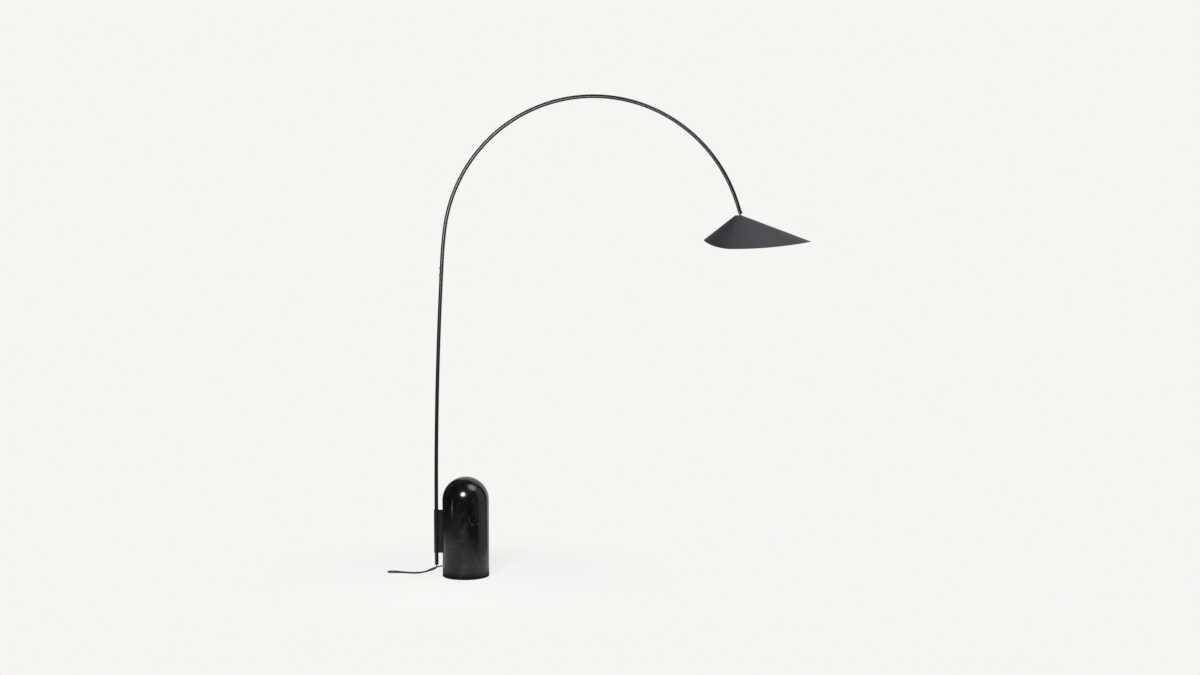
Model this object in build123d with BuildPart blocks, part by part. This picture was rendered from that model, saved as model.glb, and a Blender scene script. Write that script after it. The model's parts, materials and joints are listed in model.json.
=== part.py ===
"""Arc floor lamp: marble base, swivelling arch of two tubes, folded shade on a ball joint, cord with foot switch.

Millimetres, +Z up. The origin is the middle of the face that the lamp stands on, and the arch lies in the XZ
plane with the shade towards +X.
"""
import math
import os

from build123d import *

os.makedirs("parts", exist_ok=True)

# Fits
running_clearance = 0.05
free_clearance = 0.3

# Marble base and its floor pad
base_radius = 100.0
base_height = 430.0
base_edge = 2.0
pad_radius = 92.0
pad_thickness = 3.0
pad_recess = 2.4

# Bracket on the side of the base
pole_gap = 29.5
sleeve_radius = 10.75
sleeve_bore = 9.2
sleeve_foot = 97.0
sleeve_height = 187.0
web_thickness = 8.0
stud_radius = 2.5
stud_inset = 36.0
stud_web_depth = 13.0
stud_marble_depth = 40.0
anchor_radius = 3.8
anchor_length = 42.0
anchor_sink = 0.6
bush_length = 24.0
bush_inset = 1.0
guide_inset = 62.0
guide_radius = 2.5
guide_proud = 1.2
guide_socket_radius = 1.2
guide_socket_depth = 1.5
groove_depth = 1.0

# Pole and arch
tube_radius = 8.0
tube_wall = 2.0
pole_foot = 46.5
pole_straight_top = 302.0
pole_bend_radius = 17500.0
pole_bend_angle = 3.13
joint_straight = 50.0
ease_radius = 1750.0
ease_angle = 4.32
arch_radius = 641.0
arch_angle = 155.05
spigot_length = 90.0
spigot_wall = 2.4
joint_screw_reach = 15.25
joint_screw_radius = 2.0
joint_head_radius = 3.2
joint_head_height = 1.9
joint_head_edge = 0.9
joint_socket_radius = 1.2
joint_socket_depth = 1.1

# Cable and its bush in the foot of the pole
cord_radius = 2.8
cable_bush_length = 12.0
cable_bush_flange = 2.0
cable_bush_edge = 0.6

# Tip of the arch and the ball in it
ball_radius = 6.5
ball_reach = 39.3
ferrule_plug = 20.0
ferrule_length = 30.3
ferrule_nose = 5.0
ferrule_bore = 3.4
cable_end = 20.0
tip_length = 44.8
tip_edge = 1.2
lip_angle = 56.0
mouth_angle = 30.0
tip_screw_radius = 1.4
tip_head_radius = 2.2
tip_head_height = 2.2
tip_head_edge = 0.7

# Stem under the ball, and what hangs on it
stem_radius = 3.1
stem_drop = 10.7
collar_radius = 5.0
collar_height = 1.0
stem_end = 15.0
washer_radius = 5.4
washer_thickness = 1.5
nut_radius = 5.6
nut_height = 4.5

# Shade: a cone with one steep side and one shallow side, folded down at its flanks
steep_angle = 38.0
side_angle = 36.9
shallow_angle = 20.6
shade_cap_drop = 6.5
shade_wall = 1.2
stem_offset = 11.5
short_reach = 139.0
long_reach = 307.0
flank_drop = 143.0
flank_place = -5.0
shade_blank_drop = 160.0

# Lampholder and bulb
holder_radius = 14.0
holder_wall = 2.0
holder_cap_height = 22.0
holder_cap_edge = 2.0
core_radius = 12.5
core_lap = 4.0
core_height = 30.0
core_floor = 4.0
core_cable_hole = 3.0
ring_radius = 17.0
ring_height = 7.0
ring_edge = 1.5
screw_cap_radius = 7.0
screw_cap_height = 19.0
screw_cap_wall = 0.6
foot_radius = 3.0
foot_height = 1.6
bulb_neck_radius = 9.0
bulb_body_radius = 20.0
bulb_body_height = 24.0
globe_radius = 22.5
globe_wall = 1.2
contact_width = 4.0
contact_thickness = 0.8

# In-line foot switch
switch_length = 80.0
switch_width = 30.0
switch_corner = 9.0
switch_split = 9.0
switch_height = 20.0
switch_wall = 2.0
switch_edge = 2.0
button_radius = 10.0
button_proud = 4.0
button_flange = 1.5
button_flange_height = 1.5
button_travel = 3.0
button_edge = 1.2
block_length = 34.0
block_width = 20.0
screw_post_reach = 31.0
screw_post_radius = 3.5
shell_screw_radius = 1.5
shell_screw_head = 2.6
shell_screw_head_height = 1.5
boot_length = 20.0
boot_radius = 5.4
boot_tip_radius = 3.7
switch_x = -56.0
switch_y = 186.0

# Plug
plug_length = 36.0
plug_width = 27.0
plug_thickness = 14.0
plug_corner = 8.0
plug_edge = 3.0
plug_neck_length = 22.0
plug_neck_radius = 6.0
plug_neck_tip_radius = 3.8
plug_set_in = 6.0
plug_set_back = 62.0
pin_radius = 2.0
pin_length = 19.0
pin_root = 8.0
pin_spacing = 18.6
pin_edge = 0.8

# Coil of spare cord, with its tie
coil_x = -8.0
coil_y = 250.0
coil_outer = 37.5
coil_pitch = 6.4
coil_layer = 6.6
coil_inner_turn = 20.0
coil_climb_end = 14.5
coil_lower_halves = 5
coil_upper_halves = 6
tie_thickness = 0.9
tie_width = 8.0
tie_clearance = 0.6

# How a cord bends and leaves a fitting, and how many points measure the coil's gap to itself
bend_share = 0.45
straight_out = 10.0
gap_points = 720

pole_x = -(base_radius + pole_gap)
sleeve_top = sleeve_foot + sleeve_height
tube_bore = tube_radius - tube_wall
bush_foot = pole_foot - cable_bush_flange
marble_bottom = pad_thickness - pad_recess
dome_centre = base_height - base_radius
stud_heights = (sleeve_foot + stud_inset, sleeve_top - stud_inset)
guide_heights = (sleeve_foot + guide_inset, sleeve_top - guide_inset)


def write(part, name):
    """Label a finished piece and write it as its own file."""
    part.label = name
    export_step(part, f"parts/{name}.step")


def side_plane(x, z):
    """A plane seen from the lamp's side, with its local x along X and its local y upright."""
    return Plane(origin=(x, 0, z), x_dir=(1, 0, 0), z_dir=(0, -1, 0))


def bend_radii(points):
    """The radius at each inner point of a cord's route, as large as its two runs allow."""
    corners = [Vector(*point) for point in points]
    radii = []
    for before, here, after in zip(corners, corners[1:], corners[2:]):
        run_in = here - before
        run_out = after - here
        turn = math.radians(run_in.get_angle(run_out))
        radii.append(bend_share * min(run_in.length, run_out.length) / math.tan(turn / 2))
    return radii


def cord_report(name, path_length, volume, radii):
    """Print a cord's bend radii and compare its volume with its section times its length."""
    section = math.pi * cord_radius**2
    rounded = [round(radius, 1) for radius in radii]
    print(f"{name}: length {path_length:.1f}, volume ratio {volume / (section * path_length):.4f}, radii {rounded}")


# Base

with BuildPart() as marble_base:
    with BuildSketch(Plane.XZ):
        with BuildLine():
            foot_line = Line((0, marble_bottom), (base_radius, marble_bottom))
            Line(foot_line @ 1, (base_radius, dome_centre))
            dome_arc = CenterArc((0, dome_centre), base_radius, 0, 90)
            Line(dome_arc @ 1, foot_line @ 0)
        make_face()
    revolve(axis=Axis.Z)
    fillet(marble_base.edges().filter_by(GeomType.CIRCLE).group_by(Axis.Z)[0], radius=base_edge)
    with Locations((0, 0, marble_bottom)):
        Cylinder(
            pad_radius + free_clearance,
            pad_recess,
            align=(Align.CENTER, Align.CENTER, Align.MIN),
            mode=Mode.SUBTRACT,
        )
    for height in stud_heights:
        with BuildSketch(Plane(origin=(-base_radius, 0, height), z_dir=(1, 0, 0))):
            Circle(anchor_radius)
        extrude(amount=anchor_sink + anchor_length, mode=Mode.SUBTRACT)
write(marble_base.part, "marble_base")

with BuildPart() as floor_pad:
    with BuildSketch():
        Circle(pad_radius)
    extrude(amount=pad_thickness)
write(floor_pad.part, "floor_pad")

with BuildPart() as marble_anchors:
    for height in stud_heights:
        with BuildSketch(Plane(origin=(-base_radius + anchor_sink, 0, height), z_dir=(1, 0, 0))):
            Circle(anchor_radius)
            Circle(stud_radius, mode=Mode.SUBTRACT)
        extrude(amount=anchor_length)
write(marble_anchors.part, "marble_anchors")

with BuildPart() as bracket_studs:
    for height in stud_heights:
        with BuildSketch(Plane(origin=(-base_radius - stud_web_depth, 0, height), z_dir=(1, 0, 0))):
            Circle(stud_radius)
        extrude(amount=stud_web_depth + stud_marble_depth)
write(bracket_studs.part, "bracket_studs")

with BuildPart() as pole_bracket:
    with BuildSketch(Plane.XY.offset(sleeve_foot)):
        with Locations((pole_x / 2, 0)):
            Rectangle(-pole_x, web_thickness)
        Circle(base_radius, mode=Mode.SUBTRACT)
        with Locations((pole_x, 0)):
            Circle(sleeve_radius)
    extrude(amount=sleeve_height)
    with BuildSketch(Plane(origin=(pole_x, 0, sleeve_foot))):
        Circle(sleeve_bore)
    extrude(amount=sleeve_height, mode=Mode.SUBTRACT)
    for height in stud_heights:
        with BuildSketch(Plane(origin=(-base_radius - stud_web_depth, 0, height), z_dir=(1, 0, 0))):
            Circle(stud_radius)
        extrude(amount=2 * stud_web_depth, mode=Mode.SUBTRACT)
    for height in guide_heights:
        with BuildSketch(Plane(origin=(pole_x, 0, height), z_dir=(0, 1, 0))):
            Circle(guide_radius)
        extrude(amount=2 * sleeve_radius, mode=Mode.SUBTRACT)
write(pole_bracket.part, "pole_bracket")

bush_feet = {
    "lower_bush": sleeve_foot + bush_inset,
    "upper_bush": sleeve_top - bush_inset - bush_length,
}
for bush_name, foot in bush_feet.items():
    with BuildPart() as sleeve_bush:
        with BuildSketch(Plane(origin=(pole_x, 0, foot))):
            Circle(sleeve_bore)
            Circle(tube_radius + running_clearance, mode=Mode.SUBTRACT)
        extrude(amount=bush_length)
    write(sleeve_bush.part, bush_name)

guide_tip = tube_radius - groove_depth + free_clearance
with BuildPart() as guide_screws:
    for height in guide_heights:
        with BuildSketch(Plane(origin=(pole_x, guide_tip, height), z_dir=(0, 1, 0))):
            Circle(guide_radius)
        extrude(amount=sleeve_radius + guide_proud - guide_tip)
        with BuildSketch(Plane(origin=(pole_x, sleeve_radius + guide_proud, height), z_dir=(0, -1, 0))):
            RegularPolygon(guide_socket_radius, 6)
        extrude(amount=guide_socket_depth, mode=Mode.SUBTRACT)
write(guide_screws.part, "guide_screws")

# Route of the tubes, from the foot of the pole to the tip of the arch

with BuildLine(Plane.XZ) as pole_route:
    sleeve_run = Line((pole_x, pole_foot), (pole_x, pole_straight_top))
    pole_bend = JernArc(sleeve_run @ 1, sleeve_run % 1, pole_bend_radius, -pole_bend_angle)
    joint_run = Line(pole_bend @ 1, pole_bend @ 1 + (pole_bend % 1) * joint_straight)
seam = joint_run @ 1
seam_direction = joint_run % 1

with BuildLine(Plane.XZ) as arch_route:
    upper_joint_run = Line(seam, seam + seam_direction * joint_straight)
    ease_bend = JernArc(upper_joint_run @ 1, upper_joint_run % 1, ease_radius, -ease_angle)
    arch_bend = JernArc(ease_bend @ 1, ease_bend % 1, arch_radius, -arch_angle)
arch_end = arch_bend @ 1
tip_direction = arch_bend % 1

across = Vector(0, 1, 0)
seam_out = across.cross(seam_direction) * -1
seam_plane = Plane(origin=seam, x_dir=seam_out, z_dir=seam_direction)
joint_screw_places = [seam + seam_direction * reach for reach in (-joint_screw_reach, joint_screw_reach)]
tip_out = tip_direction.cross(across)
tip_plane = Plane(origin=arch_end, x_dir=tip_out, z_dir=across)
tip_axis = Axis(arch_end, tip_direction)
ball_centre = arch_end + tip_direction * ball_reach

with BuildPart() as lower_pole:
    with BuildSketch(Plane(origin=pole_route.line @ 0, z_dir=pole_route.line % 0)):
        Circle(tube_radius)
        Circle(tube_bore, mode=Mode.SUBTRACT)
    sweep(path=pole_route.line)
    for height in guide_heights:
        with BuildSketch(Plane(origin=(pole_x, 0, height - guide_radius - free_clearance))):
            Circle(tube_radius)
            Circle(tube_radius - groove_depth, mode=Mode.SUBTRACT)
        extrude(amount=2 * (guide_radius + free_clearance), mode=Mode.SUBTRACT)
    with BuildSketch(Plane(origin=joint_screw_places[0], z_dir=seam_out)):
        Circle(joint_screw_radius)
    extrude(amount=2 * tube_radius, mode=Mode.SUBTRACT)
write(lower_pole.part, "lower_pole")

with BuildPart() as arch_tube:
    with BuildSketch(Plane(origin=arch_route.line @ 0, z_dir=arch_route.line % 0)):
        Circle(tube_radius)
        Circle(tube_bore, mode=Mode.SUBTRACT)
    sweep(path=arch_route.line)
    with BuildSketch(Plane(origin=joint_screw_places[1], z_dir=seam_out)):
        Circle(joint_screw_radius)
    extrude(amount=2 * tube_radius, mode=Mode.SUBTRACT)
write(arch_tube.part, "arch_tube")

with BuildPart() as joint_spigot:
    with BuildSketch(seam_plane.offset(-spigot_length / 2)):
        Circle(tube_bore)
        Circle(tube_bore - spigot_wall, mode=Mode.SUBTRACT)
    extrude(amount=spigot_length)
    for place in joint_screw_places:
        with BuildSketch(Plane(origin=place, z_dir=seam_out)):
            Circle(joint_screw_radius)
        extrude(amount=2 * tube_bore, mode=Mode.SUBTRACT)
write(joint_spigot.part, "joint_spigot")

with BuildPart() as joint_screws:
    for place in joint_screw_places:
        with BuildSketch(Plane(origin=place + seam_out * (tube_bore - spigot_wall), z_dir=seam_out)):
            Circle(joint_screw_radius)
        extrude(amount=tube_wall + spigot_wall)
        with BuildSketch(Plane(origin=place + seam_out * tube_radius, z_dir=seam_out)):
            Circle(joint_head_radius)
        extrude(amount=joint_head_height)
    outer_edges = joint_screws.edges().filter_by(GeomType.CIRCLE)
    fillet(outer_edges.group_by(Axis(seam, seam_out))[-1], radius=joint_head_edge)
    for place in joint_screw_places:
        with BuildSketch(Plane(origin=place + seam_out * (tube_radius + joint_head_height), z_dir=seam_out * -1)):
            RegularPolygon(joint_socket_radius, 6)
        extrude(amount=joint_socket_depth, mode=Mode.SUBTRACT)
write(joint_screws.part, "joint_screws")

with BuildPart() as cable_bush:
    with BuildSketch(Plane(origin=(pole_x, 0, bush_foot))):
        Circle(tube_radius)
    extrude(amount=cable_bush_flange)
    fillet(cable_bush.edges().group_by(Axis.Z)[0], radius=cable_bush_edge)
    with BuildSketch(Plane(origin=(pole_x, 0, pole_foot))):
        Circle(tube_bore)
    extrude(amount=cable_bush_length)
    with BuildSketch(Plane(origin=(pole_x, 0, bush_foot))):
        Circle(cord_radius)
    extrude(amount=cable_bush_flange + cable_bush_length, mode=Mode.SUBTRACT)
write(cable_bush.part, "cable_bush")

with BuildPart() as inner_cable:
    with BuildLine() as cable_route:
        Line((pole_x, 0, bush_foot), sleeve_run @ 0)
        add(pole_route.line)
        add(arch_route.line)
        Line(arch_end, arch_end + tip_direction * cable_end)
    with BuildSketch(Plane(origin=(pole_x, 0, bush_foot))):
        Circle(cord_radius)
    sweep(path=cable_route.wire())
write(inner_cable.part, "inner_cable")

# Tip of the arch: ferrule, collar and lock screw

seat_radius = ball_radius + running_clearance
nose_end = ferrule_length + ferrule_nose
nose_radius = seat_radius - running_clearance
with BuildPart() as tip_ferrule:
    with BuildSketch(tip_plane):
        with BuildLine():
            Polyline(
                (ferrule_bore, -ferrule_plug),
                (tube_bore, -ferrule_plug),
                (tube_bore, 0),
                (tube_radius, 0),
                (tube_radius, ferrule_length),
                (nose_radius, ferrule_length),
                (nose_radius, nose_end),
                (ferrule_bore, nose_end),
                close=True,
            )
        make_face()
    revolve(axis=tip_axis)
    with Locations(ball_centre):
        Sphere(seat_radius, mode=Mode.SUBTRACT)
write(tip_ferrule.part, "tip_ferrule")

lip_radius = seat_radius * math.sin(math.radians(lip_angle))
lip_reach = ball_reach + seat_radius * math.cos(math.radians(lip_angle))
mouth_radius = lip_radius + (tip_length - lip_reach) * math.tan(math.radians(mouth_angle))
with BuildPart() as tip_collar:
    with BuildSketch(tip_plane):
        with BuildLine():
            collar_side = Line((seat_radius, ferrule_length), (tube_radius, ferrule_length))
            Polyline(collar_side @ 1, (tube_radius, tip_length), (mouth_radius, tip_length), (lip_radius, lip_reach))
            seat_arc = CenterArc((0, ball_reach), seat_radius, 0, 90 - lip_angle)
            Line(seat_arc @ 0, collar_side @ 0)
        make_face()
    revolve(axis=tip_axis)
    end_edges = tip_collar.edges().filter_by(GeomType.CIRCLE).group_by(tip_axis)[-1]
    fillet(end_edges.sort_by(SortBy.RADIUS)[-1], radius=tip_edge)
    with BuildSketch(Plane(origin=ball_centre, z_dir=tip_out)):
        Circle(tip_screw_radius)
    extrude(amount=2 * tube_radius, mode=Mode.SUBTRACT)
write(tip_collar.part, "tip_collar")

with BuildPart() as tip_screw:
    with BuildSketch(Plane(origin=ball_centre + tip_out * (seat_radius + free_clearance), z_dir=tip_out)):
        Circle(tip_screw_radius)
    extrude(amount=tube_radius - seat_radius - free_clearance)
    with BuildSketch(Plane(origin=ball_centre + tip_out * tube_radius, z_dir=tip_out)):
        Circle(tip_head_radius)
    extrude(amount=tip_head_height)
    fillet(tip_screw.edges().filter_by(GeomType.CIRCLE).group_by(Axis(arch_end, tip_out))[-1], radius=tip_head_edge)
write(tip_screw.part, "tip_screw")

# Ball stud, with the parts that are threaded on its stem

stem_x = ball_centre.X
cap_top = ball_centre.Z - stem_drop
cap_bottom = cap_top - shade_wall
washer_bottom = cap_bottom - washer_thickness
nut_bottom = washer_bottom - nut_height
stem_plane = side_plane(stem_x, 0)
stem_axis = Axis((stem_x, 0, 0), (0, 0, 1))

with BuildPart() as ball_stud:
    with Locations(ball_centre):
        Sphere(ball_radius)
    with BuildSketch(Plane(origin=(stem_x, 0, cap_top - stem_end))):
        Circle(stem_radius)
    extrude(amount=stem_end + stem_drop)
    with BuildSketch(Plane(origin=(stem_x, 0, cap_top))):
        Circle(collar_radius)
    extrude(amount=collar_height)
write(ball_stud.part, "ball_stud")

with BuildPart() as seat_washer:
    with BuildSketch(Plane(origin=(stem_x, 0, washer_bottom))):
        Circle(washer_radius)
        Circle(stem_radius, mode=Mode.SUBTRACT)
    extrude(amount=washer_thickness)
write(seat_washer.part, "seat_washer")

with BuildPart() as stem_nut:
    with BuildSketch(Plane(origin=(stem_x, 0, nut_bottom))):
        RegularPolygon(nut_radius, 6)
        Circle(stem_radius, mode=Mode.SUBTRACT)
    extrude(amount=nut_height)
write(stem_nut.part, "stem_nut")

# Shade shell: one ruled cone less the same cone lowered by the wall, with a folded rim

apex_x = stem_x - stem_offset
apex_z = cap_top + shade_cap_drop
steep_run = 1 / math.tan(math.radians(steep_angle))
side_run = 1 / math.tan(math.radians(side_angle))
shallow_run = 1 / math.tan(math.radians(shallow_angle))


def egg_section(drop):
    """The outline of the shade's cone at a drop below its apex: a short half and a long half of two ellipses."""
    side = drop * side_run
    EllipticalCenterArc((0, 0), drop * shallow_run, side, start_angle=-90, arc_size=180)
    EllipticalCenterArc((0, 0), drop * steep_run, side, start_angle=90, arc_size=180)


def shade_cone(apex_height):
    """A solid cone of the shade's outline under an apex, cut flat at its cap."""
    with BuildPart() as cone:
        for drop in (shade_cap_drop, shade_blank_drop):
            with BuildSketch(Plane(origin=(apex_x, 0, apex_height - drop))):
                with BuildLine():
                    egg_section(drop)
                make_face()
        loft(ruled=True)
    return cone.part


short_drop = short_reach / steep_run
long_drop = long_reach / shallow_run
shade_outer = shade_cone(apex_z)
shade_inner = shade_cone(apex_z - shade_wall)


def rim_radius(reach, rise):
    """The radius of an arc that leaves the lowest point level and climbs to an end of the rim."""
    return (reach**2 + rise**2) / (2 * rise)


short_radius = rim_radius(short_reach + flank_place, flank_drop - short_drop)
long_radius = rim_radius(long_reach - flank_place, flank_drop - long_drop)
short_sweep = math.degrees(math.asin((short_reach + flank_place) / short_radius))
long_sweep = math.degrees(math.asin((long_reach - flank_place) / long_radius))

with BuildPart() as shade_shell:
    add(shade_outer)
    add(shade_inner, mode=Mode.SUBTRACT)
    with BuildSketch(side_plane(apex_x, apex_z)):
        with BuildLine():
            long_arc = CenterArc((flank_place, long_radius - flank_drop), long_radius, -90, long_sweep)
            short_arc = CenterArc((flank_place, short_radius - flank_drop), short_radius, -90, -short_sweep)
            Polyline(long_arc @ 1, (long_reach, shade_wall), (-short_reach, shade_wall), short_arc @ 1)
        make_face()
    extrude(amount=shade_blank_drop * side_run, both=True, mode=Mode.INTERSECT)
    with BuildSketch(Plane(origin=(stem_x, 0, cap_bottom))):
        Circle(stem_radius + running_clearance)
    extrude(amount=shade_wall, mode=Mode.SUBTRACT)
write(shade_shell.part, "shade_shell")

# Lampholder and bulb, threaded on the stem under the shade

core_top = nut_bottom - holder_cap_height + core_lap
core_bottom = core_top - core_height
with BuildPart() as holder_cap:
    with BuildSketch(Plane(origin=(stem_x, 0, nut_bottom - holder_cap_height))):
        Circle(holder_radius)
    extrude(amount=holder_cap_height)
    fillet(holder_cap.edges().group_by(Axis.Z)[-1], radius=holder_cap_edge)
    with BuildSketch(Plane(origin=(stem_x, 0, nut_bottom - holder_cap_height))):
        Circle(core_radius)
    extrude(amount=holder_cap_height - holder_wall, mode=Mode.SUBTRACT)
    with BuildSketch(Plane(origin=(stem_x, 0, nut_bottom - holder_cap_height))):
        Circle(stem_radius)
    extrude(amount=holder_cap_height, mode=Mode.SUBTRACT)
write(holder_cap.part, "holder_cap")

socket_radius = screw_cap_radius + running_clearance
with BuildPart() as holder_core:
    with BuildSketch(Plane(origin=(stem_x, 0, core_bottom))):
        Circle(core_radius)
    extrude(amount=core_height)
    with BuildSketch(Plane(origin=(stem_x, 0, core_bottom))):
        Circle(socket_radius)
    extrude(amount=core_height - core_floor, mode=Mode.SUBTRACT)
    with BuildSketch(Plane(origin=(stem_x, 0, core_bottom))):
        with Locations((0, screw_cap_radius / 2), (0, -screw_cap_radius / 2)):
            Circle(core_cable_hole / 2)
    extrude(amount=core_height, mode=Mode.SUBTRACT)
write(holder_core.part, "holder_core")

ring_top = nut_bottom - holder_cap_height
with BuildPart() as holder_ring:
    with BuildSketch(Plane(origin=(stem_x, 0, ring_top - ring_height))):
        Circle(ring_radius)
        Circle(core_radius, mode=Mode.SUBTRACT)
    extrude(amount=ring_height)
    fillet(holder_ring.edges().filter_by(GeomType.CIRCLE).group_by(SortBy.RADIUS)[-1], radius=ring_edge)
write(holder_ring.part, "holder_ring")

cap_ceiling = core_top - core_floor - contact_thickness - foot_height
screw_cap_foot = cap_ceiling - screw_cap_height
with BuildPart() as holder_contact:
    with BuildSketch(Plane(origin=(stem_x, 0, cap_ceiling + foot_height))):
        Rectangle(contact_width, contact_width)
    extrude(amount=contact_thickness)
write(holder_contact.part, "holder_contact")

with BuildPart() as bulb_cap:
    with BuildSketch(Plane(origin=(stem_x, 0, screw_cap_foot))):
        Circle(screw_cap_radius)
    extrude(amount=screw_cap_height)
    with BuildSketch(Plane(origin=(stem_x, 0, screw_cap_foot))):
        Circle(screw_cap_radius - screw_cap_wall)
    extrude(amount=screw_cap_height - screw_cap_wall, mode=Mode.SUBTRACT)
write(bulb_cap.part, "bulb_cap")

with BuildPart() as bulb_contact:
    with BuildSketch(Plane(origin=(stem_x, 0, cap_ceiling))):
        Circle(foot_radius)
    extrude(amount=foot_height)
write(bulb_contact.part, "bulb_contact")

body_top = core_bottom - free_clearance
body_foot = body_top - bulb_body_height
globe_centre = body_foot - math.sqrt(globe_radius**2 - bulb_body_radius**2)
with BuildPart() as bulb_body:
    with BuildSketch(stem_plane):
        with BuildLine():
            Polyline(
                (0, body_foot),
                (bulb_body_radius, body_foot),
                (bulb_neck_radius, body_top),
                (screw_cap_radius - screw_cap_wall, body_top),
                (screw_cap_radius - screw_cap_wall, screw_cap_foot + screw_cap_height - screw_cap_wall),
                (0, screw_cap_foot + screw_cap_height - screw_cap_wall),
                close=True,
            )
        make_face()
    revolve(axis=stem_axis)
write(bulb_body.part, "bulb_body")

with BuildPart() as bulb_globe:
    with Locations((stem_x, 0, globe_centre)):
        Sphere(globe_radius)
        Sphere(globe_radius - globe_wall, mode=Mode.SUBTRACT)
    with BuildSketch(Plane(origin=(stem_x, 0, body_foot))):
        Circle(2 * globe_radius)
    extrude(amount=2 * globe_radius, mode=Mode.SUBTRACT)
write(bulb_globe.part, "bulb_globe")

# In-line foot switch

switch_plane = Plane(origin=(switch_x, switch_y, 0))
button_top = switch_height + button_proud
post_places = ((-screw_post_reach, 0), (screw_post_reach, 0))


def switch_outline(inset):
    """The switch's outline seen from above, drawn in by an inset."""
    RectangleRounded(switch_length - 2 * inset, switch_width - 2 * inset, switch_corner - inset)


with BuildPart() as switch_tray:
    with BuildSketch(switch_plane):
        switch_outline(0)
    extrude(amount=switch_split)
    fillet(switch_tray.edges().group_by(Axis.Z)[0], radius=switch_wall / 2)
    with BuildSketch(switch_plane.offset(switch_wall)):
        switch_outline(switch_wall)
        with Locations(*post_places):
            Circle(screw_post_radius, mode=Mode.SUBTRACT)
    extrude(amount=switch_split - switch_wall, mode=Mode.SUBTRACT)
    with BuildSketch(switch_plane):
        with Locations(*post_places):
            Circle(shell_screw_radius)
    extrude(amount=switch_split, mode=Mode.SUBTRACT)
    with BuildSketch(switch_plane):
        with Locations(*post_places):
            Circle(shell_screw_head)
    extrude(amount=shell_screw_head_height + free_clearance, mode=Mode.SUBTRACT)
write(switch_tray.part, "switch_tray")

with BuildPart() as switch_lid:
    with BuildSketch(switch_plane.offset(switch_split)):
        switch_outline(0)
    extrude(amount=switch_height - switch_split)
    fillet(switch_lid.edges().group_by(Axis.Z)[-1], radius=switch_edge)
    with BuildSketch(switch_plane.offset(switch_split)):
        switch_outline(switch_wall)
        with Locations(*post_places):
            Circle(screw_post_radius, mode=Mode.SUBTRACT)
    extrude(amount=switch_height - switch_split - switch_wall, mode=Mode.SUBTRACT)
    with BuildSketch(switch_plane.offset(switch_split)):
        Circle(button_radius + free_clearance)
    extrude(amount=switch_height, mode=Mode.SUBTRACT)
    with BuildSketch(switch_plane.offset(switch_split)):
        with Locations(*post_places):
            Circle(shell_screw_radius)
    extrude(amount=switch_height - switch_split - 2 * switch_wall, mode=Mode.SUBTRACT)
write(switch_lid.part, "switch_lid")

flange_top = switch_height - switch_wall
flange_bottom = flange_top - button_flange_height
with BuildPart() as switch_button:
    with BuildSketch(switch_plane.offset(flange_bottom)):
        Circle(button_radius + button_flange)
    extrude(amount=button_flange_height)
    with BuildSketch(switch_plane.offset(flange_top)):
        Circle(button_radius)
    extrude(amount=button_top - flange_top)
    fillet(switch_button.edges().group_by(Axis.Z)[-1], radius=button_edge)
write(switch_button.part, "switch_button")

block_top = flange_bottom - button_travel - free_clearance
with BuildPart() as switch_block:
    with BuildSketch(switch_plane.offset(switch_wall)):
        Rectangle(block_length, block_width)
    extrude(amount=block_top - switch_wall)
write(switch_block.part, "switch_block")

with BuildPart() as switch_screws:
    for reach, side in post_places:
        with BuildSketch(switch_plane.offset(free_clearance)):
            with Locations((reach, side)):
                Circle(shell_screw_head)
        extrude(amount=shell_screw_head_height)
        with BuildSketch(switch_plane.offset(free_clearance + shell_screw_head_height)):
            with Locations((reach, side)):
                Circle(shell_screw_radius)
        extrude(amount=switch_height - 3 * switch_wall - shell_screw_head_height)
write(switch_screws.part, "switch_screws")

boot_root = switch_length / 2
boot_tip = boot_root + boot_length
with BuildPart() as switch_boots:
    for side in (-1, 1):
        root = Vector(switch_x + side * boot_root, switch_y, switch_split)
        with BuildSketch(Plane(origin=root, z_dir=(side, 0, 0))):
            Circle(boot_radius)
        with BuildSketch(Plane(origin=root + Vector(side * boot_length, 0, 0), z_dir=(side, 0, 0))):
            Circle(boot_tip_radius)
        loft(ruled=True)
write(switch_boots.part, "switch_boots")

# Coil of spare cord: half turns whose ends lie on the coil's local x axis, in two layers

coil_floor = cord_radius + tie_thickness + tie_clearance
half_step = coil_pitch / 2
lower_crossings = [(-1) ** k * (coil_outer - k * half_step) for k in range(coil_lower_halves + 1)]
upper_crossings = [(-1) ** k * (coil_inner_turn + k * half_step) for k in range(1, coil_upper_halves + 1)]
upper_crossings.insert(0, coil_climb_end)
crossings = [Vector(coil_x + x, coil_y, coil_floor) for x in lower_crossings]
crossings += [Vector(coil_x + x, coil_y, coil_floor + coil_layer) for x in upper_crossings]
end_run = Vector(0, 2 * cord_radius, 0)
coil_start = crossings[0] - end_run
coil_end = crossings[-1] + end_run


def half_turn(start, end, side):
    """A half circle between two crossings, bulging to one side along Y, tilted where it climbs a layer."""
    middle = (start + end) * 0.5
    bulge = Vector(0, side * (end - start).length / 2, 0)
    return ThreePointArc(start, middle + bulge, end)


def least_gap(path):
    """The least gap of a cord's path to itself, measured between points more than a few diameters apart."""
    points = [path.position_at(k / gap_points) for k in range(gap_points + 1)]
    step = path.length / gap_points
    skip = math.ceil(math.pi * coil_inner_turn / step)
    least = min(
        (points[j] - points[i]).length for i in range(len(points)) for j in range(i + skip, len(points))
    )
    return least - 2 * cord_radius


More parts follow.
